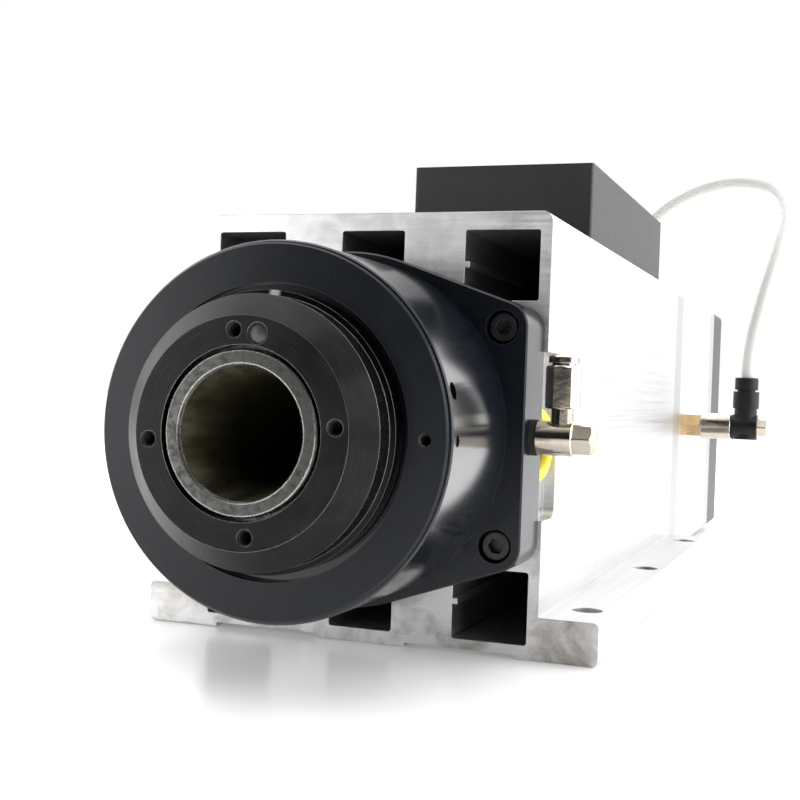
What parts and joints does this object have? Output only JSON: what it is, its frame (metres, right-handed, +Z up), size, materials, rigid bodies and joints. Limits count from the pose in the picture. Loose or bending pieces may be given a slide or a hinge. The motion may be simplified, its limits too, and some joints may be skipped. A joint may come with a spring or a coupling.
{
  "type": "motor spindle",
  "caption": "Air-cooled electric milling spindle with a 7/24 tool taper, drawbar release cylinder, extruded motor body with air channels, terminal box and rear fan.",
  "frame": {"origin": "centre of the nose face, where the spindle axis leaves the taper mouth", "axes": "+Y along the spindle axis from the nose to the fan, +Z up away from the foot, +X to the fitting side"},
  "size_m": [0.1707, 0.5222, 0.1948],
  "materials": {
    "shaft_steel": "ground bearing steel",
    "nut_steel": "turned, dark blued steel",
    "bearing_steel": "polished",
    "black_oxide": "black oxide over turned steel, satin to gloss",
    "screw_black": "black oxide",
    "cage_resin": "phenolic resin",
    "extrusion": "drawn and machined, bare",
    "lamination": "stacked sheet steel",
    "copper": "varnished winding",
    "cast_aluminium": "machined casting",
    "rubber": "matt",
    "brass": "bare brass",
    "spring_steel": "phosphated spring steel",
    "box_black": "fine powder coat",
    "plastic_black": "moulded plastic",
    "nickel": "nickel-plated brass",
    "lead_yellow": "cable jacket",
    "tube_clear": "milky polyurethane",
    "guard_paint": "black painted steel sheet"
  },
  "bodies": {
    "housing": {"front_housing": "black_oxide", "front_cover": "black_oxide", "cover_lock_screw": "screw_black", "flange_screws": "screw_black", "front_bearing_outer_rings": "bearing_steel", "outer_spacer": "shaft_steel", "motor_body": "extrusion", "stator_core": "lamination", "stator_windings": "copper", "rear_bearing_shield": "cast_aluminium", "bearing_retainer": "shaft_steel", "rear_bearing_outer_ring": "bearing_steel", "cylinder_body": "extrusion", "rear_plate": "cast_aluminium", "tie_screws": "screw_black", "position_sensors": "brass", "terminal_box": "box_black", "terminal_box_lid": "box_black", "lid_gasket": "rubber", "lid_screws": "screw_black", "terminal_block": "plastic_black", "gland_bodies": "nickel", "gland_nuts": "nickel", "fitting_washer": "rubber", "fitting_body": "nickel", "fitting_bolt": "nickel", "sensor_lead": "lead_yellow", "rear_fitting_base": "brass", "rear_fitting_collar": "nickel", "rear_fitting_elbow": "plastic_black", "rear_fitting_screw": "nickel", "top_fitting": "nickel", "air_tube": "tube_clear", "fan_cowl": "plastic_black", "fan_guard": "guard_paint", "guard_screws": "screw_black"},
    "spindle": {"spindle_shaft": "shaft_steel", "labyrinth_nut": "nut_steel", "balance_plug": "bearing_steel", "front_bearing_inner_rings": "bearing_steel", "inner_spacer": "shaft_steel", "rear_bearing_inner_ring": "bearing_steel", "rear_lock_nut": "nut_steel", "rotor_core": "lamination", "rotor_end_rings": "cast_aluminium", "disc_springs": "spring_steel"},
    "front_cages": {"front_ball_cages": "cage_resin", "front_balls": "bearing_steel"},
    "rear_cage": {"rear_ball_cage": "cage_resin", "rear_balls": "bearing_steel"},
    "drawbar": {"drawbar": "shaft_steel", "gripper": "nut_steel", "drawbar_cap": "nut_steel"},
    "piston": {"piston": "cast_aluminium", "piston_ring": "rubber"},
    "fan_rotor": {"fan_impeller": "plastic_black", "fan_pin": "shaft_steel"},
    "front_release": {"fitting_release_ring": "nickel"},
    "rear_release": {"rear_release_ring": "plastic_black"},
    "top_release": {"top_release_ring": "plastic_black"}
  },
  "joints": [
    {"name": "spindle_spin", "type": "hinge", "parent": "housing", "child": "spindle", "pos_m": [0, 0, 0], "axis": [0, 1, 0], "continuous": true},
    {"name": "front_cage_spin", "type": "hinge", "parent": "housing", "child": "front_cages", "pos_m": [0, 0.0428, 0], "axis": [0, 1, 0], "continuous": true},
    {"name": "rear_cage_spin", "type": "hinge", "parent": "housing", "child": "rear_cage", "pos_m": [0, 0.34, 0], "axis": [0, 1, 0], "continuous": true},
    {"name": "piston_slide", "type": "slide", "parent": "housing", "child": "piston", "axis": [0, -1, 0], "range_m": [0, 0.007]},
    {"name": "drawbar_slide", "type": "slide", "parent": "spindle", "child": "drawbar", "axis": [0, -1, 0], "range_m": [0, 0.007], "stiffness_N_per_m": 20000, "springref_m": -0.002, "deforming": ["disc_springs"]},
    {"name": "fan_spin", "type": "hinge", "parent": "housing", "child": "fan_rotor", "pos_m": [0, 0.5, 0.0015], "axis": [0, 1, 0], "continuous": true},
    {"name": "front_release_press", "type": "slide", "parent": "housing", "child": "front_release", "axis": [0, 0, -1], "range_m": [0, 0.0008], "stiffness_N_per_m": 100, "springref_m": -0.0008},
    {"name": "rear_release_press", "type": "slide", "parent": "housing", "child": "rear_release", "axis": [0, 0, -1], "range_m": [0, 0.0008], "stiffness_N_per_m": 100, "springref_m": -0.0008},
    {"name": "top_release_press", "type": "slide", "parent": "housing", "child": "top_release", "axis": [0, 0, -1], "range_m": [0, 0.0008], "stiffness_N_per_m": 100, "springref_m": -0.0008}
  ],
  "couplings": [
    {"joint": "front_cage_spin", "follows": "spindle_spin", "ratio": 0.426},
    {"joint": "rear_cage_spin", "follows": "spindle_spin", "ratio": 0.418},
    {"joint": "drawbar_slide", "follows": "piston_slide", "ratio": 1}
  ]
}
